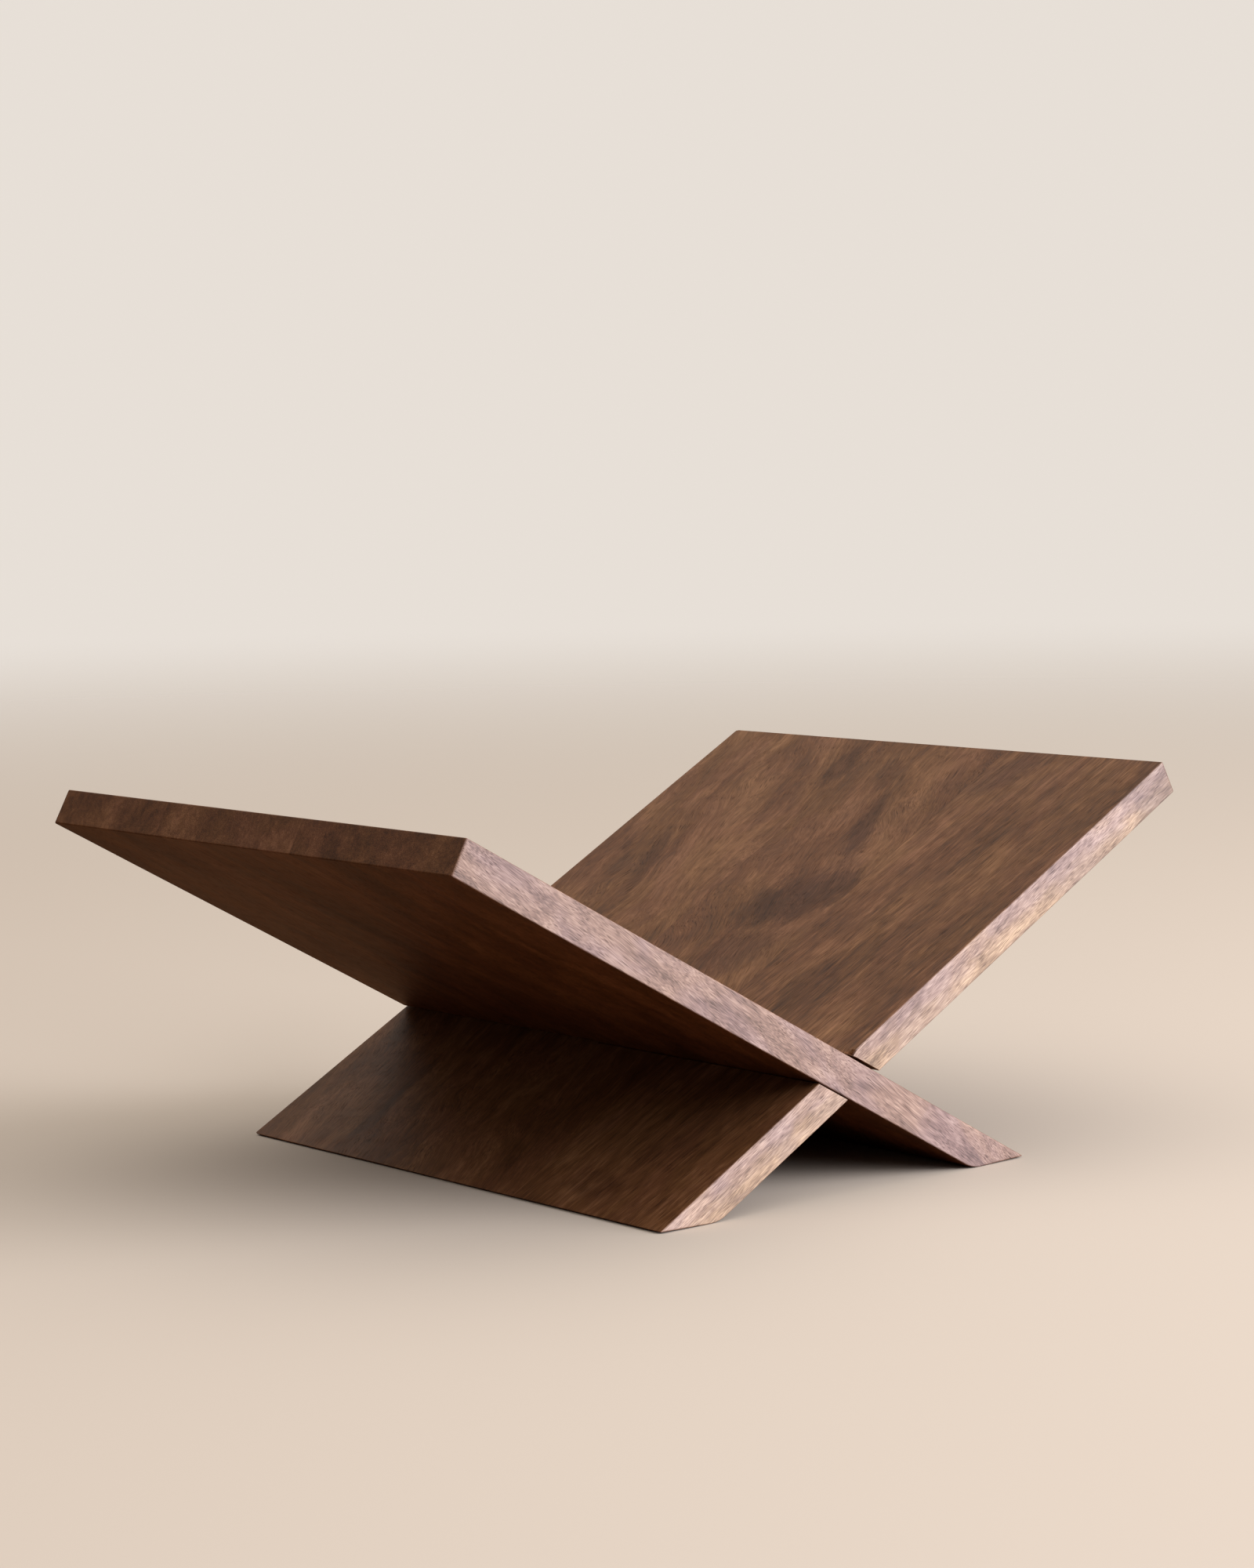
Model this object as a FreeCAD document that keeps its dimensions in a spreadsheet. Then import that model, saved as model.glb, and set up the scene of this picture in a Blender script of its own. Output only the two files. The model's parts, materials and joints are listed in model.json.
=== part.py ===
import FreeCAD, Part
import math
import os
import Sketcher

# A knock-down X stand of two solid boards that cross at half their depth.
#
# Frame: +Z up, origin on the table under the crossing, midway from front to back. The front is -Y.
# The right board rises towards +X and its slot opens at the front. The left board is made the same way
# and turned half round about Z, so it rises towards -X and its slot opens at the back.
# Each board is glued up from three staves that run its whole length. The slot cuts through the stave on
# its open side, which leaves an upper and a lower piece, and it ends inside the middle stave.
# Every stave is drawn as if it belonged to the right board, and its Placement puts it in its own.

SIZES = {
    "board_thickness": 15.8,
    "board_depth": 280.0,
    "board_slope": 28.7,  # degrees above the table
    "foot_angle": 30.2,  # degrees between a foot's cut and its board, so the foot bears along its heel
    "crossing_height": 48.6,  # table to the line where the two mid-planes cross
    "upper_reach": 227.0,  # that line to the top end
    "gap_above": 1.0,  # slot wall to the other board's upper face
    "gap_below": 0.4,  # slot wall to the other board's lower face
    "slot_overrun": 0.1,  # how far a slot runs past half depth
    "right_whole_stave": 105.0,  # widths: the stave clear of the slot, then the notched one
    "right_middle_stave": 81.0,
    "left_whole_stave": 104.0,
    "left_middle_stave": 96.0,
    "toe_round": 0.25,  # outer edge of the foot
    "heel_round": 18.0,  # inner edge of the foot
    "brow_round": 0.6,  # top end to upper face
    "chin_round": 0.6,  # top end to lower face
    "side_round": 0.5,  # along the front and back edges
}

# How far the heel's corner would reach under the table if it were sharp: its round just touches it.
HEEL_DROP = (
    "sizes.heel_round * (cos((sizes.board_slope - sizes.foot_angle / 2) * 1 deg)"
    " / cos(sizes.foot_angle / 2 * 1 deg) - 1)"
)

# How far the cutter reaches from the crossing, below and above the other board's mid-plane.
SLOT_FLOOR = "sizes.board_thickness / 2 + sizes.gap_below"
SLOT_ROOF = "sizes.board_thickness / 2 + sizes.gap_above"
PAST_THE_BOARD = "sizes.upper_reach * 2"
CUTS = {
    "notch": (SLOT_FLOOR, SLOT_ROOF),
    "all_below": (PAST_THE_BOARD, SLOT_ROOF),
    "all_above": (SLOT_FLOOR, PAST_THE_BOARD),
}

# Each corner of the side view is the edge along Y that lies furthest this way.
CORNERS = {
    "toe": FreeCAD.Vector(-1, 0, 0),
    "heel": FreeCAD.Vector(0, 0, -1),
    "brow": FreeCAD.Vector(0, 0, 1),
    "chin": FreeCAD.Vector(1, 0, 0),
}
TOLERANCE = 1e-4

doc = FreeCAD.newDocument("album_stand")
sheet = doc.addObject("Spreadsheet::Sheet", "sizes")
for row, (alias, value) in enumerate(SIZES.items(), start=1):
    sheet.set(f"A{row}", alias)
    sheet.set(f"B{row}", str(value))
    sheet.setAlias(f"B{row}", alias)
doc.recompute()


def leaning(towards):
    """In side view (X and Z): the crossing, and unit vectors along and square to a board.

    towards is +1 for the right board, which rises towards +X, and -1 for the left one.
    """
    slope = math.radians(sheet.board_slope)
    crossing = FreeCAD.Vector(0, sheet.crossing_height)
    along = FreeCAD.Vector(towards * math.cos(slope), math.sin(slope))
    square = FreeCAD.Vector(-towards * math.sin(slope), math.cos(slope))
    return crossing, along, square


def side_view_sketch(body, name, distance_back):
    """A sketch on X and Z that stands this far along +Y."""
    plane = next(p for p in body.Origin.OriginFeatures if p.Role == "XZ_Plane")
    sketch = body.newObject("Sketcher::SketchObject", name)
    sketch.AttachmentSupport = [(plane, "")]
    sketch.MapMode = "FlatFace"
    sketch.setExpression("AttachmentOffset.Base.z", f"-({distance_back})")
    return sketch


def closed_outline(sketch, points):
    """Straight lines from point to point and back to the first, joined at their ends."""
    lines = [
        sketch.addGeometry(Part.LineSegment(start, end))
        for start, end in zip(points, points[1:] + points[:1])
    ]
    for line, following in zip(lines, lines[1:] + lines[:1]):
        sketch.addConstraint(Sketcher.Constraint("Coincident", line, 2, following, 1))
    return lines


def constrain(sketch, *constraints):
    """Geometric constraints, which have no size."""
    for constraint in constraints:
        sketch.addConstraint(Sketcher.Constraint(*constraint))


def dimension(sketch, kind, *where, equals):
    """A dimension bound to the sheet."""
    index = sketch.addConstraint(Sketcher.Constraint(kind, *where, sketch.evalExpression(equals)))
    sketch.setExpression(f"Constraints[{index}]", equals)


def draw_board(sketch):
    """The board's outline: a strip about its mid-plane, square at the top, with its heel on the table."""
    crossing, along, square = leaning(1)
    half = square * (sheet.board_thickness / 2)
    top = crossing + along * sheet.upper_reach
    heel = crossing - half - along * (((crossing - half).y + sketch.evalExpression(HEEL_DROP)) / along.y)
    toe = heel + half * 2 - along * (sheet.board_thickness / math.tan(math.radians(sheet.foot_angle)))
    upper_face, end, lower_face, foot = closed_outline(sketch, [toe, top + half, top - half, heel])
    middle = sketch.addGeometry(Part.LineSegment(crossing, top), True)
    constrain(
        sketch,
        ("PointOnObject", middle, 1, -2),
        ("Parallel", upper_face, middle),
        ("Parallel", lower_face, middle),
        ("Perpendicular", end, middle),
        ("Symmetric", end, 1, end, 2, middle, 2),
    )
    dimension(sketch, "DistanceY", foot, 1, -1, 1, equals=HEEL_DROP)
    dimension(sketch, "DistanceY", -1, 1, middle, 1, equals="sizes.crossing_height")
    dimension(sketch, "Angle", -1, 1, middle, 1, equals="sizes.board_slope * 1 deg")
    dimension(sketch, "Distance", middle, equals="sizes.upper_reach")
    dimension(sketch, "Distance", end, equals="sizes.board_thickness")
    dimension(sketch, "Angle", foot, 2, upper_face, 1, equals="sizes.foot_angle * 1 deg")


def draw_cutter(sketch, below, above):
    """A rectangle that lies along the left board and passes right through the stave."""
    crossing, along, square = leaning(-1)
    reach = sketch.evalExpression(PAST_THE_BOARD)
    floor = crossing - square * sketch.evalExpression(below)
    roof = crossing + square * sketch.evalExpression(above)
    points = [floor - along * reach, floor + along * reach, roof + along * reach, roof - along * reach]
    floor_side, left_side, roof_side, right_side = closed_outline(sketch, points)
    centre = sketch.addGeometry(Part.Point(crossing), True)
    constrain(
        sketch,
        ("PointOnObject", centre, 1, -2),
        ("Perpendicular", floor_side, left_side),
        ("Perpendicular", left_side, roof_side),
        ("Perpendicular", roof_side, right_side),
    )
    dimension(sketch, "DistanceY", -1, 1, centre, 1, equals="sizes.crossing_height")
    dimension(sketch, "Angle", -1, 1, floor_side, 1, equals="180 deg - sizes.board_slope * 1 deg")
    dimension(sketch, "Distance", centre, 1, floor_side, equals=below)
    dimension(sketch, "Distance", centre, 1, roof_side, equals=above)
    dimension(sketch, "Distance", centre, 1, left_side, equals=PAST_THE_BOARD)
    dimension(sketch, "Distance", centre, 1, right_side, equals=PAST_THE_BOARD)


def runs_along_y(edge):
    ends = edge.Vertexes
    return len(ends) == 2 and abs(abs((ends[1].Point - ends[0].Point).y) - edge.Length) < TOLERANCE


def named_edges(shape):
    return [(f"Edge{number}", edge) for number, edge in enumerate(shape.Edges, start=1)]


def corner_edge(shape, corner):
    """The name of the edge along Y at this corner of the side view."""
    names = [name for name, edge in named_edges(shape) if runs_along_y(edge)]
    return max(names, key=lambda name: CORNERS[corner].dot(shape.getElement(name).CenterOfMass))


def rim_edges(shape, edge_y):
    """The names of the edges around the face at the board's front or back, but for a slot wall's."""
    _, other_board, _ = leaning(-1)
    wall = FreeCAD.Vector(other_board.x, 0, other_board.y)
    names = []
    for name, edge in named_edges(shape):
        box = edge.BoundBox
        at_rim = abs(box.YMin - edge_y) < TOLERANCE and abs(box.YMax - edge_y) < TOLERANCE
        run = edge.Vertexes[-1].Point - edge.Vertexes[0].Point
        on_wall = at_rim and run.cross(wall).Length < TOLERANCE
        if at_rim and not on_wall:
            names.append(name)
    return names


def round_over(body, base, name, edges, radius):
    """Rounds these edges of the base feature."""
    fillet = body.newObject("PartDesign::Fillet", name)
    fillet.Base = (base, edges)
    fillet.setExpression("Radius", f"sizes.{radius}")
    doc.recompute()
    return fillet


def make_stave(label, back_at, width, cut, corners, rim, placement):
    """One stave: its board's outline over its own width, cut for the slot, with its edges rounded.

    back_at and width are expressions. rim is +1 or -1 if the stave has the board's back or front edge.
    """
    body = doc.addObject("PartDesign::Body", label)
    body.Label = label
    outline = side_view_sketch(body, f"{label}_outline", back_at)
    draw_board(outline)
    tip = body.newObject("PartDesign::Pad", f"{label}_blank")
    tip.Profile = outline
    tip.setExpression("Length", width)
    doc.recompute()
    if cut:
        blank_volume = tip.Shape.Volume
        profile = side_view_sketch(body, f"{label}_slot_outline", "sizes.slot_overrun")
        draw_cutter(profile, *CUTS[cut])
        tip = body.newObject("PartDesign::Pocket", f"{label}_slot")
        tip.Profile = profile
        tip.Type = "ThroughAll"
        tip.Reversed = True
        doc.recompute()
        assert tip.Shape.Volume < blank_volume, f"{label}: the slot cuts nothing"
    for corner in corners:
        edge = corner_edge(tip.Shape, corner)
        tip = round_over(body, tip, f"{label}_{corner}", [edge], f"{corner}_round")
    if rim:
        edges = rim_edges(tip.Shape, rim * sheet.board_depth / 2)
        tip = round_over(body, tip, f"{label}_rim", edges, "side_round")
    body.Tip = tip
    body.Placement = placement
    return body


def make_board(board, slot_side, other_side, placement):
    """The four staves of one board. slot_side and other_side say where its slot opens: front or back."""
    half_depth = "sizes.board_depth / 2"
    whole = f"sizes.{board}_whole_stave"
    middle = f"sizes.{board}_middle_stave"
    slotted_back = f"{half_depth} - {whole} - {middle}"
    slotted_width = f"sizes.board_depth - {whole} - {middle}"
    middle_back = f"{half_depth} - {whole}"
    top = ("brow", "chin")
    foot = ("toe", "heel")
    slotted = f"{board}_board_{slot_side}_stave"
    return [
        make_stave(f"{board}_board_{other_side}_stave", half_depth, whole, None, top + foot, 1, placement),
        make_stave(f"{board}_board_middle_stave", middle_back, middle, "notch", top + foot, 0, placement),
        make_stave(f"{slotted}_upper", slotted_back, slotted_width, "all_below", top, -1, placement),
        make_stave(f"{slotted}_lower", slotted_back, slotted_width, "all_above", foot, -1, placement),
    ]


half_turn = FreeCAD.Placement(FreeCAD.Vector(), FreeCAD.Rotation(FreeCAD.Vector(0, 0, 1), 180))
staves = make_board("right", "front", "back", FreeCAD.Placement())
staves += make_board("left", "back", "front", half_turn)
doc.recompute()

for item in doc.Objects:
    if "Invalid" in item.State or "Error" in item.State:
        raise RuntimeError(f"{item.Label} did not compute: {item.State}")
for stave in staves:
    if stave.Shape.isNull() or not stave.Shape.isValid() or len(stave.Shape.Solids) != 1:
        raise RuntimeError(f"{stave.Label} is not one valid solid")

os.makedirs("parts", exist_ok=True)
for stave in staves:
    stave.Shape.exportStep(f"parts/{stave.Label}.step")
    box = stave.Shape.BoundBox
    print(
        f"{stave.Label}: X {box.XMin:.1f} to {box.XMax:.1f}, Y {box.YMin:.1f} to {box.YMax:.1f},"
        f" Z {box.ZMin:.1f} to {box.ZMax:.1f}, {stave.Shape.Volume / 1000:.1f} cm3"
    )
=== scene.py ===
import json
import math

import bmesh
import bpy
from mathutils import Matrix, Vector, noise


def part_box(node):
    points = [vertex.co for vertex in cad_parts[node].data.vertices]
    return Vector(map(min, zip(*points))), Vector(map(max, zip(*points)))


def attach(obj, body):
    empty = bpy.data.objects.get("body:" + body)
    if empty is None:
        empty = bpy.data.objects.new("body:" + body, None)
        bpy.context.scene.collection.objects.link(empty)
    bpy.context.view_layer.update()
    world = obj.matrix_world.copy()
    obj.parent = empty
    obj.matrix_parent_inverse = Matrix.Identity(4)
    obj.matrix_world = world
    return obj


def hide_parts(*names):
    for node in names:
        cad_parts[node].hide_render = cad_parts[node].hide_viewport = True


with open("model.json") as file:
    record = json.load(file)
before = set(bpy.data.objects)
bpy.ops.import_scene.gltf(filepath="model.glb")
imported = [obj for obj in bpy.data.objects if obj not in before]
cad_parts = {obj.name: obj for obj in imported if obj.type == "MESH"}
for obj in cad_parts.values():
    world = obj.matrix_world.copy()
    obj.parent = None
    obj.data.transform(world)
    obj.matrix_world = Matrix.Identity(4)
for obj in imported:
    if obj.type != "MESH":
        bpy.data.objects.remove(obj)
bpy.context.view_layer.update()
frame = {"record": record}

# ---------------------------------------------------------------------------------------------------
# Sizes, in metres. The boards' slope comes from the record, and the staves' widths from the frame.
# ---------------------------------------------------------------------------------------------------

MM = 0.001
THICKNESS = 15.8 * MM
FOOT_ANGLE = math.radians(30.2)
CROSSING_HEIGHT = 48.6 * MM
UPPER_REACH = 227 * MM
GAP_ABOVE = 1.0 * MM
GAP_BELOW = 0.4 * MM
SLOT_OVERRUN = 0.1 * MM
TOE_ROUND = 0.25 * MM
HEEL_ROUND = 18 * MM
BROW_ROUND = 0.6 * MM
CHIN_ROUND = 0.6 * MM
WALL_ROUND = 0.25 * MM
SHARPEST = 0.08 * MM

ARRIS = 0.7 * MM  # eased front and back edges
WALL_EASING = 0.4  # share of that on a slot wall's edges
ARRIS_WANDER = 0.3  # how much the easing thins out along an edge
ARRIS_WAVE = 18 * MM  # and over what length
FRONT_CORNER = 0.6 * MM  # the boards' corners, seen square on to a face
BACK_CORNER = 1.8 * MM
CORNER_REACH = 30 * MM  # how far in from an end the corners' rounding is spread
FACE_DIP = 0.08 * MM  # hand-sanded faces and edges are this far from flat
EDGE_DIP = 0.12 * MM
END_DIP = 0.12 * MM
FACE_WAVE = 60 * MM  # and this long from one dip to the next
EDGE_WAVE = 70 * MM
TOP_WAVE = 45 * MM
TOE_WAVE = 30 * MM
BOARD_SEED = 3.7  # makes the two boards' dips differ

CHIP_DEPTH = 2.4 * MM  # the splintered corner at the right board's slot
CHIP_REACH = 4 * MM
CHIP_GRAIN = 0.9 * MM  # how coarse its splinters are
CHIP_RAG = (0.3, 1.4)  # the least share of its depth that is cut, and how much more is at the most
CHIP_WAY = Vector((0.6, -0.8, 0.7))  # the way it is cut: up the board, into it and back

ARC_STEPS = 6
RUN_STEP = 4 * MM  # mean spacing of points along an outline
DEPTH_STEP = 8 * MM  # spacing of rings from front to back
RIM_STEPS = (1.5, 2.1, 2.9, 4.2, 6.5)  # rings behind an eased edge, in millimetres from it
SHARP_ANGLE = math.radians(28)  # faces that meet at more than this keep a sharp edge between them

MOUNTS = {mount["name"]: mount for mount in frame["record"]["mounts"]}
SLOPE = math.acos(MOUNTS["right_board_album_rest"]["axis"][2])
HALF = THICKNESS / 2
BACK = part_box("right_board_back_stave")[1].y
SIDE = {"right": 1, "left": -1}  # the way in X that each board rises


# ---------------------------------------------------------------------------------------------------
# Outlines, in a board's side view: X runs along it from the crossing, Y square to it from its middle.
# ---------------------------------------------------------------------------------------------------


def wall_corner(distance, height):
    """Where a slot wall, this far from the other board's middle, comes to this height."""
    return Vector(((distance - height * math.cos(2 * SLOPE)) / math.sin(2 * SLOPE), height))


def foot_corners():
    """The toe, on the upper face, and the heel, on the lower one, whose round just meets the table."""
    drop = HEEL_ROUND * (math.cos(SLOPE - FOOT_ANGLE / 2) / math.cos(FOOT_ANGLE / 2) - 1)
    heel = -(CROSSING_HEIGHT + drop - HALF * math.cos(SLOPE)) / math.sin(SLOPE)
    return Vector((heel - THICKNESS / math.tan(FOOT_ANGLE), HALF)), Vector((heel, -HALF))


TOE, HEEL = foot_corners()
ROOF, FLOOR = HALF + GAP_ABOVE, -HALF - GAP_BELOW

# Each corner is its place, its rounding, and what follows it: how much that edge is eased, and
# whether it is end grain. They go clockwise.
UPPER = (
    (wall_corner(ROOF, HALF), WALL_ROUND, 1, 0),
    (Vector((UPPER_REACH, HALF)), BROW_ROUND, 1, 1),
    (Vector((UPPER_REACH, -HALF)), CHIN_ROUND, 1, 0),
    (wall_corner(ROOF, -HALF), WALL_ROUND, WALL_EASING, 1),
)
LOWER = (
    (wall_corner(FLOOR, -HALF), WALL_ROUND, 1, 0),
    (HEEL, HEEL_ROUND, 1, 1),
    (TOE, TOE_ROUND, 1, 0),
    (wall_corner(FLOOR, HALF), WALL_ROUND, WALL_EASING, 1),
)
WHOLE = (LOWER[1], LOWER[2], UPPER[1], UPPER[2])
CHIP = Vector((*UPPER[0][0], -BACK))


def moved_corner(before, corner, after, inset_before, inset_after):
    """A clockwise corner after the edges on each side of it have moved inwards."""
    first = (corner - before).normalized()
    second = (after - corner).normalized()
    start = Vector((first.y, -first.x)) * inset_before
    gap = Vector((second.y, -second.x)) * inset_after - start
    along = (gap.x * second.y - gap.y * second.x) / (first.x * second.y - first.y * second.x)
    return corner + start + first * along


def corner_arc(before, corner, after, radius):
    """Points round a clockwise corner."""
    back = (before - corner).normalized()
    ahead = (after - corner).normalized()
    half_angle = back.angle(ahead) / 2
    centre = corner + (back + ahead).normalized() * (radius / math.sin(half_angle))
    spoke = corner + back * (radius / math.tan(half_angle)) - centre
    sweep = math.pi - 2 * half_angle
    turns = [Matrix.Rotation(-sweep * step / ARC_STEPS, 2) for step in range(ARC_STEPS + 1)]
    return [centre + turn @ spoke for turn in turns]


def trace(corners, inset):
    """An outline moved inwards, as one list for each corner: its arc, then the run to the next.

    Points are closer together near the ends of a run. Each is (place, share of end grain).
    """
    count = len(corners)
    places = []
    for index, (place, _, easing, _) in enumerate(corners):
        before, _, easing_before, _ = corners[index - 1]
        after = corners[(index + 1) % count][0]
        places.append(moved_corner(before, place, after, inset * easing_before, inset * easing))
    arcs = []
    for index, place in enumerate(places):
        radius = max(corners[index][1] - inset, SHARPEST)
        arcs.append(corner_arc(places[index - 1], place, places[(index + 1) % count], radius))
    stretches = []
    for index, arc in enumerate(arcs):
        grain_before, grain = corners[index - 1][3], corners[index][3]
        following = arcs[(index + 1) % count][0]
        run = corners[(index + 1) % count][0] - corners[index][0]
        steps = max(4, round(run.length / RUN_STEP))
        stretch = []
        for step, place in enumerate(arc):
            stretch.append((place, grain_before + (grain - grain_before) * step / ARC_STEPS))
        for step in range(1, steps):
            share = (1 - math.cos(math.pi * step / steps)) / 2
            stretch.append((arc[-1].lerp(following, share), grain))
        stretches.append(stretch)
    return stretches


def between(start, end):
    """Points on a face between two stretches, without their own ends."""
    (first, grain), (last, _) = start, end
    steps = max(2, round((last - first).length / RUN_STEP))
    return [(first.lerp(last, step / steps), grain) for step in range(1, steps)]


def closed(corners, inset):
    """An outline as one list."""
    return [point for stretch in trace(corners, inset) for point in stretch]


def parted(corners):
    """The outline of a stave above or below the slot, as (all but the slot's wall, the wall).

    The outside runs from where the first corner's arc meets a face to where the last one's does.
    """
    first, second, third, last = trace(corners, 0)
    return first[ARC_STEPS:] + second + third + last[:1], last[1:] + first[:ARC_STEPS]


# ---------------------------------------------------------------------------------------------------
# Staves
# ---------------------------------------------------------------------------------------------------


def wander(scale, *place):
    """Smooth noise from 0 to 1. The place is in metres, and so is the scale of the noise."""
    return 0.5 + 0.5 * noise.noise(Vector(place) / scale)


def chipped(board, run, height, depth):
    """A point near the chip, above the right board's slot, is moved inwards, raggedly."""
    place = Vector((run, height, depth))
    off = (place - CHIP).length
    if board != "right" or run < 0 or off > CHIP_REACH:
        return run, height, depth
    least, more = CHIP_RAG
    ragged = least + more * wander(CHIP_GRAIN, run, height, depth)
    return tuple(place + CHIP_WAY * (CHIP_DEPTH * (1 - off / CHIP_REACH) * ragged))


def settle(board, run, height, depth):
    """Moves a point of an ideal board inwards to its hand-finished place: (run, height, depth)."""
    seed = BOARD_SEED * SIDE[board]
    run, height, depth = chipped(board, run, height, depth)
    face = math.copysign(1, height)
    rim = math.copysign(1, depth)
    corner = BACK_CORNER if rim > 0 else FRONT_CORNER
    short = max(0.0, corner - (BACK - abs(depth)))
    cut = corner - math.sqrt(corner**2 - short**2)
    at_top = min(1.0, max(0.0, (run - UPPER_REACH) / CORNER_REACH + 1))
    at_toe = min(1.0, max(0.0, (TOE.x - run) / CORNER_REACH + 1))
    top_dip = END_DIP * wander(TOP_WAVE, depth, seed, 0)
    toe_dip = END_DIP * wander(TOE_WAVE, depth, seed, 0.5)
    height *= 1 - FACE_DIP / HALF * wander(FACE_WAVE, run, depth, seed + face)
    depth *= 1 - EDGE_DIP / BACK * wander(EDGE_WAVE, run, seed, rim)
    return run - at_top * (cut + top_dip) + at_toe * (cut + toe_dip), height, depth


def world_place(board, run, height, depth):
    """A point of a board, in the row frame."""
    run, height, depth = settle(board, run, height, depth)
    side = SIDE[board]
    return Vector(
        (
            side * (run * math.cos(SLOPE) - height * math.sin(SLOPE)),
            depth,
            CROSSING_HEIGHT + run * math.sin(SLOPE) + height * math.cos(SLOPE),
        )
    )


class Timber:
    """A stave's mesh as it is built. Each face corner keeps its share of side and of end grain."""

    def __init__(self, board):
        self.board = board
        self.mesh = bmesh.new()
        self.side = self.mesh.loops.layers.float.new("side")
        self.end = self.mesh.loops.layers.float.new("end")
        self.made = {}

    def vertex(self, place, depth):
        key = (round(place.x / MM, 5), round(place.y / MM, 5), round(depth / MM, 5))
        if key not in self.made:
            self.made[key] = self.mesh.verts.new(world_place(self.board, place.x, place.y, depth))
        return self.made[key]

    def face(self, corners):
        """corners are (vertex, side, end)."""
        made = self.mesh.faces.new([vertex for vertex, _, _ in corners])
        made.smooth = True
        for loop, (_, side, end) in zip(made.loops, corners):
            loop[self.side] = side
            loop[self.end] = end

    def cap(self, outline, depths, side):
        self.face([(self.vertex(place, depth), side, 0) for (place, _), depth in zip(outline, depths)])

    def ring(self, outline, depths, side):
        """One ring's corners."""
        return [(self.vertex(place, depth), side, end) for (place, end), depth in zip(outline, depths)]

    def sweep(self, rings):
        """rings are (outline, its depths, share of side)."""
        made = [self.ring(*ring) for ring in rings]
        for first, second in zip(made, made[1:]):
            for index in range(len(first)):
                self.face([first[index - 1], first[index], second[index], second[index - 1]])

    def finished(self, name):
        """The mesh as an object."""
        bmesh.ops.recalc_face_normals(self.mesh, faces=self.mesh.faces)
        data = bpy.data.meshes.new(name)
        self.mesh.to_mesh(data)
        self.mesh.free()
        data.set_sharp_from_angle(angle=SHARP_ANGLE)
        piece = bpy.data.objects.new(name, data)
        bpy.context.scene.collection.objects.link(piece)
        piece.modifiers.new("flat_faces", "WEIGHTED_NORMAL").keep_sharp = True
        return piece


def plain_rings(outline, start, end, inner_steps=()):
    """Rings of one outline from one depth to another, with some extra ones close behind the start."""
    way = math.copysign(1, end - start)
    depths = [start + way * step * MM for step in inner_steps]
    begin = depths[-1] if depths else start
    steps = max(1, round(abs(end - begin) / DEPTH_STEP))
    depths += [begin + (end - begin) * step / steps for step in range(1 if depths else 0, steps + 1)]
    return [(outline, [depth] * len(outline), 0) for depth in depths]


def eased_rings(corners, edge):
    """Rings round an eased front or back edge, from the outside in."""
    rings = []
    for step in range(ARC_STEPS + 1):
        angle = math.pi / 2 * step / ARC_STEPS
        outline, depths = [], []
        for (place, grain), (inner, _) in zip(closed(corners, 0), closed(corners, ARRIS)):
            share = 1 - ARRIS_WANDER * wander(ARRIS_WAVE, place.x, place.y, edge)
            outline.append((place + (inner - place) * share * (1 - math.sin(angle)), grain))
            depths.append(edge - math.copysign(ARRIS, edge) * share * (1 - math.cos(angle)))
        rings.append((outline, depths, 1 - step / ARC_STEPS))
    return rings


def edge_stave(node, board, corners):
    """A stave that has its board's front or back edge."""
    low, high = (corner.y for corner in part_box(node))
    edge, glued = (low, high) if abs(low) > abs(high) else (high, low)
    timber = Timber(board)
    eased = eased_rings(corners, edge)
    outline = closed(corners, 0)
    timber.sweep(eased + plain_rings(outline, edge, glued, RIM_STEPS))
    timber.cap(eased[0][0], eased[0][1], 1)
    timber.cap(outline, [glued] * len(outline), 0)
    return timber.finished(node + "_timber")


def notched_stave(node, board):
    """A middle stave: whole to the slot's end, and then in two prongs."""
    low, high = (corner.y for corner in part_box(node))
    slot_end = SIDE[board] * SLOT_OVERRUN
    glued, mouth = (high, low) if SIDE[board] > 0 else (low, high)
    upper, upper_wall = parted(UPPER)
    lower, lower_wall = parted(LOWER)
    under = between(upper[-1], lower[0])
    over = between(lower[-1], upper[0])
    whole = upper + under + lower + over
    end_wall = under + lower[:1] + lower_wall[::-1] + lower[-1:]
    end_wall += over + upper[:1] + upper_wall[::-1] + upper[-1:]
    timber = Timber(board)
    timber.sweep(plain_rings(whole, slot_end, glued))
    timber.cap(whole, [glued] * len(whole), 0)
    timber.cap(end_wall, [slot_end] * len(end_wall), 0)
    for prong in (upper + upper_wall, lower + lower_wall):
        timber.sweep(plain_rings(prong, slot_end, mouth))
        timber.cap(prong, [mouth] * len(prong), 0)
    return timber.finished(node + "_timber")


# Each node's board and outline. A middle stave's outline is made where it is built.
PIECES = {
    "right_board_back_stave": ("right", WHOLE),
    "right_board_front_stave_upper": ("right", UPPER),
    "right_board_front_stave_lower": ("right", LOWER),
    "right_board_middle_stave": ("right", None),
    "left_board_front_stave": ("left", WHOLE),
    "left_board_back_stave_upper": ("left", UPPER),
    "left_board_back_stave_lower": ("left", LOWER),
    "left_board_middle_stave": ("left", None),
}


# ---------------------------------------------------------------------------------------------------
# Wood. Board places are in millimetres: X up the board from the crossing, Y back, Z out of its face.
# ---------------------------------------------------------------------------------------------------


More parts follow.
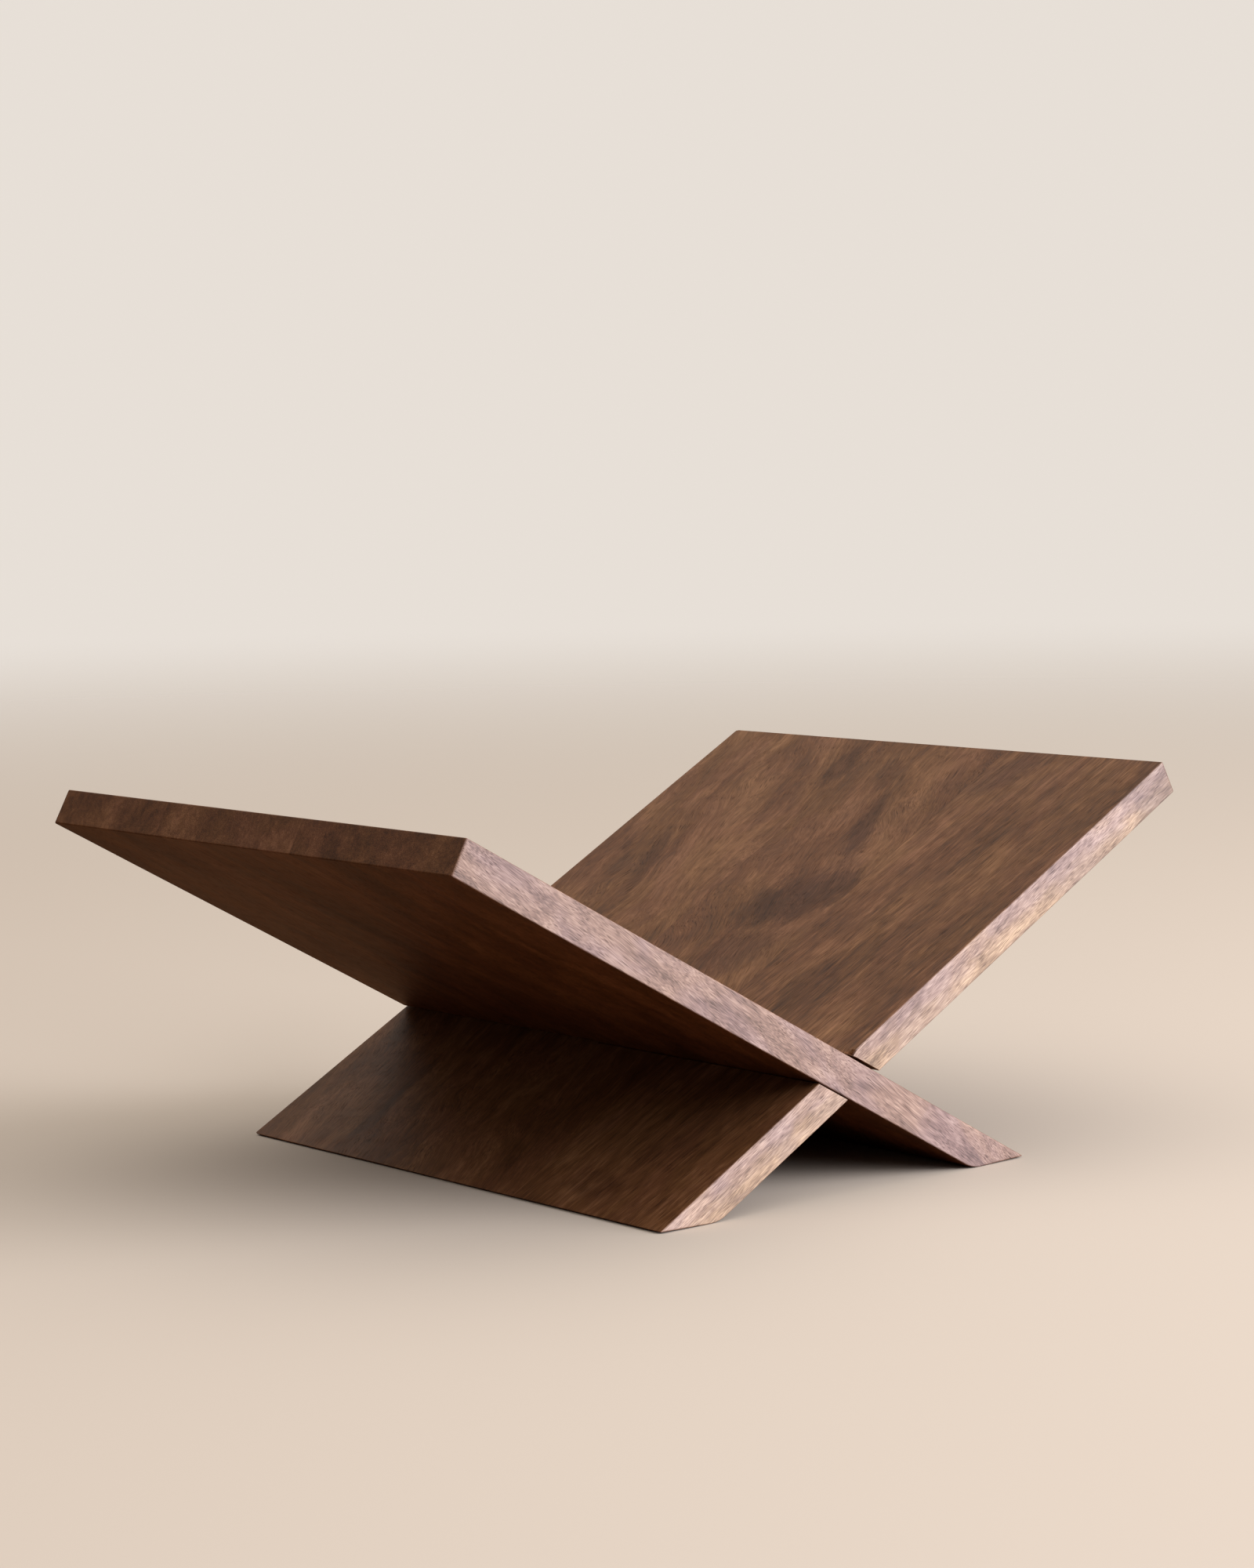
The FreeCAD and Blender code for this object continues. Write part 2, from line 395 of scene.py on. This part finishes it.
class Shader:
    """One material's nodes. A method adds a node and returns the socket that it gives."""

    def __init__(self, owner):
        owner.use_nodes = True
        self.owner = owner
        self.nodes = owner.node_tree.nodes
        self.surface = self.nodes.get("Principled BSDF")

    def link(self, value, socket):
        if isinstance(value, bpy.types.NodeSocket):
            self.owner.node_tree.links.new(value, socket)
        else:
            socket.default_value = value

    def add(self, kind, inputs, output=0, **settings):
        made = self.nodes.new(kind)
        for key, value in settings.items():
            setattr(made, key, value)
        for key, value in inputs.items():
            self.link(value, made.inputs[key])
        return made.outputs[output]

    def maths(self, operation, *values):
        return self.add("ShaderNodeMath", dict(enumerate(values)), operation=operation)

    def vector(self, operation, *values, output=0):
        return self.add("ShaderNodeVectorMath", dict(enumerate(values)), output, operation=operation)

    def stretch(self, place, length, width):
        """A place with its millimetres counted in these lengths, the second of them in depth too."""
        return self.vector("MULTIPLY", place, (1 / length, 1 / width, 1 / width))

    def noise(self, place, detail=2.0, roughness=0.5, distortion=0.0, output="Fac"):
        inputs = {"Vector": place, "Scale": 1.0}
        inputs.update({"Detail": detail, "Roughness": roughness, "Distortion": distortion})
        return self.add("ShaderNodeTexNoise", inputs, output)

    def spread(self, value, low, high, to_low=0.0, to_high=1.0):
        """A smooth step from to_low to to_high, as the value goes from low to high."""
        inputs = {"Value": value, "From Min": low, "From Max": high, "To Min": to_low, "To Max": to_high}
        return self.add("ShaderNodeMapRange", inputs, interpolation_type="SMOOTHSTEP")

    def weighted(self, *terms):
        """0.5 plus each value's distance from 0.5 times its weight."""
        total = 0.5
        for value, weight in terms:
            centred = self.maths("SUBTRACT", value, 0.5)
            total = self.maths("MULTIPLY_ADD", centred, weight, total)
        return total

    def mix(self, share, first, second, blend="MIX"):
        made = self.nodes.new("ShaderNodeMix")
        made.data_type = "RGBA"
        made.blend_type = blend
        self.link(share, made.inputs["Factor"])
        self.link(first, made.inputs[6])
        self.link(second, made.inputs[7])
        return made.outputs[2]

    def tint(self, colour, tint, share=1.0):
        """This share of the way from a colour to that colour times a tint."""
        return self.mix(share, colour, tint, "MULTIPLY")

    def ramp(self, value, stops):
        made = self.nodes.new("ShaderNodeValToRGB")
        elements = made.color_ramp.elements
        while len(elements) < len(stops):
            elements.new(0.5)
        for element, (position, colour) in zip(elements, stops):
            element.position = position
            element.color = (*colour, 1)
        self.link(value, made.inputs["Fac"])
        return made.outputs["Color"]

    def attribute(self, name):
        return self.add("ShaderNodeAttribute", {}, "Fac", attribute_name=name)


# Tones are (place on a ramp, colour), from the darkest wood to the lightest.
FACE_TONES = ((0.05, (0.044, 0.019, 0.010)), (0.5, (0.142, 0.065, 0.029)), (0.95, (0.300, 0.160, 0.086)))
# The outer edges' tones are paler and greyer than the faces'. Part of that is the edge wood's own lighter
# colour, and part is a painted sheen of the bright light in front of the stand.
EDGE_TONES_WITH_SHEEN = {
    "right": ((0.05, (0.200, 0.155, 0.142)), (0.5, (0.415, 0.320, 0.272)), (0.95, (0.650, 0.530, 0.440))),
    "left": ((0.05, (0.160, 0.122, 0.118)), (0.5, (0.318, 0.232, 0.218)), (0.95, (0.510, 0.395, 0.360))),
}

# The rest are tints, which a tone is multiplied by.
FACE_HUES = ((1.03, 1.01, 0.94, 1), (1.00, 0.94, 0.98, 1))  # golden and plum patches
EDGE_HUES = ((1.06, 1.03, 0.97, 1), (0.95, 0.95, 1.01, 1))  # creamy and lilac patches
EDGE_HALVES = {  # the lower and the upper half of an outer edge
    "right": ((1.03, 1.01, 0.95, 1), (0.95, 0.93, 1.00, 1)),
    "left": ((1.0, 1.0, 1.0, 1), (1.0, 1.0, 1.0, 1)),
}
FACE_STAIN = (0.47, 0.42, 0.45, 1)
EDGE_STAIN = (0.66, 0.68, 0.74, 1)
END_GRAIN = (0.90, 0.84, 0.84, 1)
PORE = (0.26, 0.22, 0.22, 1)
GLUE = (0.55, 0.50, 0.48, 1)

APART = 400  # from one stave's tree to the next one's, in millimetres
SWIRL = 62  # how far the curliest fibres could swing, in millimetres
SWIRL_SIZE = (80, 42)  # a swirl's length and width
BEND = 30.0  # how far the growth rings could bend
RING_WIDTH = 5.5
STAIN_DEPTH = 40  # a stain's half size through the board, in millimetres
STAIN_RAG = (16, 9)  # the size of the rags at a stain's outline
RAG_REACH = 1.5  # how far they reach, in its own half sizes
STAIN_RIM = (2.0, 1.3)  # where a stain starts and is full, in its own half sizes, rags included
HUE_RIM = (0.36, 0.64)  # where one hue's patches end and the other's start
HALF_RAG = 14.0  # how ragged the line between an outer edge's halves is, in millimetres
HALF_RIM = (3, 11)  # where that line is, rags included
PORES = ((8, 0.42, 0.5), (13, 0.6, 0.4))  # each kind's length and width, and the share of cells with one
PORE_RIM = (0.18, 0.36)  # where a pore ends, in its cell's sizes
FAINT_PORES = 0.15  # the part of that share whose pores are faint
PORE_SHARE = 0.6  # how dark it is
GLUE_RIM = (0.28, 0.05)  # a glue line's half width, faint and full, in millimetres
GLUE_SHARE = 0.7
GLOSS = 0.16
RELIEF = 0.2 * MM
RELIEF_SHARE = 0.35

# The figure's layers: length along the grain and width across it, in millimetres, then the noise's
# detail, roughness and distortion.
LAYERS = {
    "bend": (110, 24, 2.0, 0.45, 0.0),
    "silk": (38, 1.8, 3.0, 0.6, 0.0),
    "fibre": (13, 0.44, 2.0, 0.6, 0.0),
    "line": (20, 0.33, 0.5, 0.5, 0.0),
    "dash": (6, 0.28, 0.0, 0.5, 0.0),
    "fleck": (3.6, 1.1, 3.0, 0.6, 0.4),
    "mottle": (17, 8, 5.0, 0.62, 0.9),
    "cloud": (70, 30, 3.0, 0.5, 0.6),
    "hue": (46, 26, 4.0, 0.55, 0.7),
    "blotch": (26, 6, 1.5, 0.5, 0.8),
}

# For each material slot: its tone, how straight its grain is, how the grain lies (degrees across the
# face and into it), and where the heart of its tree is from its middle, in millimetres.
STAVES = {
    "right_board_back_stave": (0.55, 0.45, 12, 2, (30, -70)),
    "right_board_middle_stave": (0.51, 0.5, 12, -3, (-12, 55)),
    "right_board_front_stave": (0.49, 0.95, -4, 2, (-55, -18)),
    "left_board_front_stave": (0.46, 0.85, -5, 8, (25, 60)),
    "left_board_middle_stave": (0.48, 0.85, 4, 3, (10, -80)),
    "left_board_back_stave": (0.50, 0.8, -3, -4, (-40, -30)),
}

# Stains in the wood: place on the board (up it, back), half length, half width, turn in degrees and
# strength.
STAINS = {
    "right_board_back_stave": (
        (204, 43, 20, 7, 5, 0.7),
        (118, 97, 34, 5, 21, 0.55),
        (124, 121, 9, 3, 40, 0.5),
    ),
    "right_board_middle_stave": (
        (102, -23, 33, 20, -42, 0.9),
        (57, -18, 26, 17, -50, 0.55),
        (158, -13, 30, 7, 21, 0.8),
        (196, 8, 16, 6, 15, 0.45),
    ),
    "right_board_front_stave": (
        (208, -60, 26, 11, -34, 0.75),
        (38, -83, 26, 15, 0, 0.35),
        (-97, -82, 9, 17, 0, 0.5),
        (225, -140, 30, 9, 0, 0.6),
    ),
    "left_board_front_stave": ((70, -92, 38, 8, 8, 0.5), (188, -66, 30, 9, -10, 0.5)),
    "left_board_middle_stave": ((130, 18, 38, 8, 12, 0.55), (-60, 30, 26, 7, 0, 0.45)),
    "left_board_back_stave": ((88, 104, 36, 8, -8, 0.5), (203, 84, 26, 8, 15, 0.55)),
}


def stained(shader, place, stains):
    """How stained the wood is, from 0 to 1. The stains' outlines are ragged."""
    rag = shader.noise(shader.stretch(place, *STAIN_RAG), 5.0, 0.6, 0.8)
    total = 0.0
    for up_board, back, length, width, turn, strength in stains:
        local = shader.add(
            "ShaderNodeMapping",
            {
                "Vector": place,
                "Location": (up_board, back, 0),
                "Rotation": (0, 0, math.radians(turn)),
                "Scale": (length, width, STAIN_DEPTH),
            },
            vector_type="TEXTURE",
        )
        off = shader.vector("LENGTH", local, output="Value")
        ragged = shader.maths("MULTIPLY_ADD", rag, RAG_REACH, off)
        total = shader.maths("MAXIMUM", total, shader.spread(ragged, *STAIN_RIM, 0.0, strength))
    return total


def pores_in(shader, grain, length, width, kept):
    """Short open pores that lie along the grain, in this share of their cells."""
    cells = shader.nodes.new("ShaderNodeTexVoronoi")
    shader.link(shader.stretch(grain, length, width), cells.inputs["Vector"])
    cells.inputs["Scale"].default_value = 1.0
    chance = shader.add("ShaderNodeSeparateColor", {"Color": cells.outputs["Color"]}, "Red")
    open_pore = shader.spread(chance, kept, kept - FAINT_PORES)
    return shader.maths("MULTIPLY", shader.spread(cells.outputs["Distance"], *PORE_RIM, 1.0, 0.0), open_pore)


def board_place(shader, board):
    """Where a point is on its board, in millimetres."""
    crossing = CROSSING_HEIGHT / MM
    return shader.add(
        "ShaderNodeMapping",
        {
            "Vector": shader.add("ShaderNodeTexCoord", {}, "Object"),
            "Location": (-crossing * math.sin(SLOPE), 0, -crossing * math.cos(SLOPE)),
            "Rotation": (0, SLOPE, 0),
            "Scale": (SIDE[board] / MM, 1 / MM, 1 / MM),
        },
    )


def grain_place(shader, place, slot, middle, seed):
    """The same point in the tree: X along the fibres, and Y and Z from its heart.

    The fibres swirl, except in a straight-grained stave.
    """
    _, straight, across, into, heart = STAVES[slot]
    grain = shader.add(
        "ShaderNodeMapping",
        {
            "Vector": place,
            "Location": (APART * seed, -middle - heart[0], -heart[1]),
            "Rotation": (0, math.radians(into), -math.radians(across)),
        },
    )
    swirl = shader.noise(shader.stretch(grain, *SWIRL_SIZE), output="Color")
    swing = SWIRL * (1 - straight)
    off = shader.vector("MULTIPLY", shader.vector("SUBTRACT", swirl, (0.5, 0.5, 0.5)), (0, swing, swing / 2))
    return shader.vector("ADD", grain, off)


def growth_rings(shader, grain, bend, seed):
    """Growth rings round the heart, which the fibres' wander bends."""
    from_heart = shader.vector("LENGTH", shader.vector("MULTIPLY", grain, (0, 1, 1)), output="Value")
    rings = shader.maths("MULTIPLY_ADD", bend, BEND, from_heart)
    ring_place = shader.add("ShaderNodeCombineXYZ", {"X": rings, "Y": 0.0, "Z": float(seed)})
    return shader.noise(shader.stretch(ring_place, RING_WIDTH, 1), 3.0, 0.6)


def stave_material(slot, nodes, seed):
    """The oiled wood of one stave, or of the two pieces of a stave that the slot parts."""
    tone, straight = STAVES[slot][:2]
    board = slot.split("_")[0]
    low = min(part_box(node)[0].y for node in nodes) / MM
    high = max(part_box(node)[1].y for node in nodes) / MM
    shader = Shader(bpy.data.materials.new(slot + "_wood"))
    place = board_place(shader, board)
    grain = grain_place(shader, place, slot, (low + high) / 2, seed)
    apart = shader.nodes.new("ShaderNodeSeparateXYZ")
    shader.link(place, apart.inputs[0])
    _, back, height = apart.outputs
    side = shader.attribute("side")
    end = shader.maths("MULTIPLY", shader.attribute("end"), shader.maths("SUBTRACT", 1.0, side))

    layer = {}
    for name, (length, width, *kind) in LAYERS.items():
        layer[name] = shader.noise(shader.stretch(grain, length, width), *kind)
    growth = growth_rings(shader, grain, layer["bend"], seed)
    hue = shader.spread(layer["hue"], *HUE_RIM)
    stain = stained(shader, place, STAINS[slot])
    pores = shader.maths("MAXIMUM", *[pores_in(shader, grain, *kind) for kind in PORES])

    face_tone = shader.weighted(
        (growth, 0.55),
        (layer["silk"], 0.3 + 0.35 * straight),
        (layer["fibre"], 0.2 + 0.4 * straight),
        (layer["line"], 0.2 + 0.5 * straight),
        (layer["fleck"], 0.5 * (1 - straight)),
        (layer["mottle"], 0.6),
        (layer["cloud"], 0.9),
    )
    face = shader.ramp(shader.maths("ADD", face_tone, tone - 0.5), FACE_TONES)
    face = shader.tint(face, shader.mix(hue, *FACE_HUES))
    face = shader.tint(face, FACE_STAIN, stain)

    edge_tone = shader.weighted(
        (growth, 0.5),
        (layer["silk"], 0.45),
        (layer["fibre"], 0.5),
        (layer["line"], 0.75),
        (layer["dash"], 0.65),
        (layer["mottle"], 0.3),
        (layer["blotch"], 1.0),
    )
    # the edges' ramp holds their own paler colour plus a painted sheen of the light in front
    edge = shader.ramp(edge_tone, EDGE_TONES_WITH_SHEEN[board])
    ragged_height = shader.maths("MULTIPLY_ADD", layer["blotch"], HALF_RAG, height)
    upper_half = shader.spread(ragged_height, *HALF_RIM)
    edge = shader.tint(edge, shader.mix(upper_half, *EDGE_HALVES[board]))
    edge = shader.tint(edge, shader.mix(hue, *EDGE_HUES))
    edge = shader.tint(edge, EDGE_STAIN, stain)

    wood = shader.mix(side, face, edge)
    wood = shader.tint(wood, END_GRAIN, end)
    wood = shader.tint(wood, PORE, shader.maths("MULTIPLY", pores, PORE_SHARE))
    for seam in (low, high):
        if abs(seam) < BACK / MM - 1:
            off = shader.maths("ABSOLUTE", shader.maths("SUBTRACT", back, seam))
            near = shader.spread(off, *GLUE_RIM)
            wood = shader.tint(wood, GLUE, shader.maths("MULTIPLY", near, GLUE_SHARE))
    shader.link(wood, shader.surface.inputs["Base Color"])

    roughness = shader.weighted((layer["mottle"], 0.2), (layer["fibre"], 0.12), (pores, 0.1))
    shader.link(roughness, shader.surface.inputs["Roughness"])
    relief = shader.weighted((layer["fibre"], 0.5), (layer["silk"], 0.3), (pores, -0.9))
    bump = shader.add("ShaderNodeBump", {"Strength": RELIEF_SHARE, "Distance": RELIEF, "Height": relief})
    shader.link(bump, shader.surface.inputs["Normal"])
    shader.surface.inputs["Specular IOR Level"].default_value = GLOSS
    return shader.owner


# ---------------------------------------------------------------------------------------------------
# The stand
# ---------------------------------------------------------------------------------------------------

slots = {}
for node in PIECES:
    slots.setdefault(node.removesuffix("_upper").removesuffix("_lower"), []).append(node)

for seed, (slot, nodes) in enumerate(slots.items(), start=1):
    material = stave_material(slot, nodes, seed)
    for node in nodes:
        board, corners = PIECES[node]
        piece = edge_stave(node, board, corners) if corners else notched_stave(node, board)
        piece.data.materials.append(material)
        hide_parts(node)
        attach(piece, board + "_board")


# ---------------------------------------------------------------------------------------------------
# Floor, light and camera
# ---------------------------------------------------------------------------------------------------

FLOOR_RADIUS = 6.0
FLOOR_FADE = (0.9, 4.5)  # how far off the floor starts to melt into the backdrop, and has
FLOOR_ROUGHNESS = 0.8
FLOOR_GLOSS = 0.05
FLOOR_PAINT = (0.56, 0.51, 0.46, 1)
NEAR_GLOW = (0.24, 0.134, 0.076, 1)  # the floor's colour in the light that it throws back on the stand
FAR_GLOW = (0.05, 0.030, 0.018, 1)
GLOW_FADE = (0.25, 0.8)
BACKDROP = (0.80, 0.74, 0.68, 1)
LOW_LIGHT = (0.022, 0.015, 0.011, 1)
HIGH_LIGHT = (1.30, 1.17, 1.04, 1)
LIGHT_RISE = (0.17, 0.88)  # how high, from 0 level to 1 overhead, the one ends and the other starts

KEY_PLACE = (1.5, -2.3, 0.95)
KEY_TARGET = (0, 0, 0.08)
KEY_SIZE = (2.4, 1.5)
KEY_WATTS = 134
KEY_COLOUR = (1.0, 0.96, 0.96)

CAMERA_ANGLES = (-40.476, 5.570, -0.980)  # azimuth, elevation and roll, in degrees
CAMERA_OFFSET = Vector((-0.830, 159.847, 1526.67)) * MM  # across, up and back from the origin
LENS = 79.40


def make_floor():
    """A plain pale floor that melts into the backdrop's colour far from the stand."""
    mesh = bmesh.new()
    bmesh.ops.create_circle(mesh, cap_ends=True, segments=96, radius=FLOOR_RADIUS)
    data = bpy.data.meshes.new("floor")
    mesh.to_mesh(data)
    mesh.free()
    floor = bpy.data.objects.new("floor", data)
    bpy.context.scene.collection.objects.link(floor)
    shader = Shader(bpy.data.materials.new("floor_paint"))
    place = shader.add("ShaderNodeTexCoord", {}, "Object")
    distance = shader.vector("LENGTH", place, output="Value")
    seen = shader.add("ShaderNodeLightPath", {}, "Is Camera Ray")
    far = shader.maths("MULTIPLY", seen, shader.spread(distance, *FLOOR_FADE))
    glow = shader.mix(shader.spread(distance, *GLOW_FADE), NEAR_GLOW, FAR_GLOW)
    shader.link(shader.mix(seen, glow, FLOOR_PAINT), shader.surface.inputs["Base Color"])
    shader.surface.inputs["Roughness"].default_value = FLOOR_ROUGHNESS
    shader.surface.inputs["Specular IOR Level"].default_value = FLOOR_GLOSS
    clear = shader.add("ShaderNodeBsdfTransparent", {})
    shown = shader.add("ShaderNodeMixShader", {0: far, 1: shader.surface.outputs[0], 2: clear})
    shader.link(shown, shader.nodes["Material Output"].inputs["Surface"])
    data.materials.append(shader.owner)


def make_world():
    """A pale backdrop. Its light is strong from overhead and weak near the floor, as in a room."""
    world = bpy.data.worlds.new("studio")
    bpy.context.scene.world = world
    shader = Shader(world)
    apart = shader.nodes.new("ShaderNodeSeparateXYZ")
    shader.link(shader.add("ShaderNodeTexCoord", {}, "Generated"), apart.inputs[0])
    overhead = shader.spread(apart.outputs["Z"], *LIGHT_RISE)
    light = shader.mix(overhead, LOW_LIGHT, HIGH_LIGHT)
    seen = shader.add("ShaderNodeLightPath", {}, "Is Camera Ray")
    shader.link(shader.mix(seen, light, BACKDROP), shader.nodes["Background"].inputs["Color"])


def make_key():
    """One big soft lamp, in front and to the right."""
    data = bpy.data.lights.new("key", "AREA")
    data.shape = "RECTANGLE"
    data.size, data.size_y = KEY_SIZE
    data.energy = KEY_WATTS
    data.color = KEY_COLOUR
    lamp = bpy.data.objects.new("key", data)
    lamp.location = KEY_PLACE
    lamp.rotation_mode = "QUATERNION"
    lamp.rotation_quaternion = (Vector(KEY_PLACE) - Vector(KEY_TARGET)).to_track_quat("Z", "Y")
    bpy.context.scene.collection.objects.link(lamp)


def make_camera():
    """The lens and the place that give the stand's proportions, and its place in the picture."""
    azimuth, elevation, roll = (math.radians(angle) for angle in CAMERA_ANGLES)
    level_way = Vector((math.sin(azimuth), -math.cos(azimuth), 0))
    back = level_way * math.cos(elevation) + Vector((0, 0, math.sin(elevation)))
    level = Vector((0, 0, 1)).cross(back).normalized()
    upright = back.cross(level)
    across = math.cos(roll) * level + math.sin(roll) * upright
    up = -math.sin(roll) * level + math.cos(roll) * upright
    data = bpy.data.cameras.new("camera")
    data.lens = LENS
    data.clip_end = 50
    camera = bpy.data.objects.new("camera", data)
    axes = Matrix((across, up, back)).transposed()
    camera.location = axes @ CAMERA_OFFSET
    camera.rotation_mode = "QUATERNION"
    camera.rotation_quaternion = axes.to_quaternion()
    bpy.context.scene.collection.objects.link(camera)
    bpy.context.scene.camera = camera


make_floor()
make_world()
make_key()
make_camera()
bpy.context.scene.view_settings.view_transform = "Standard"
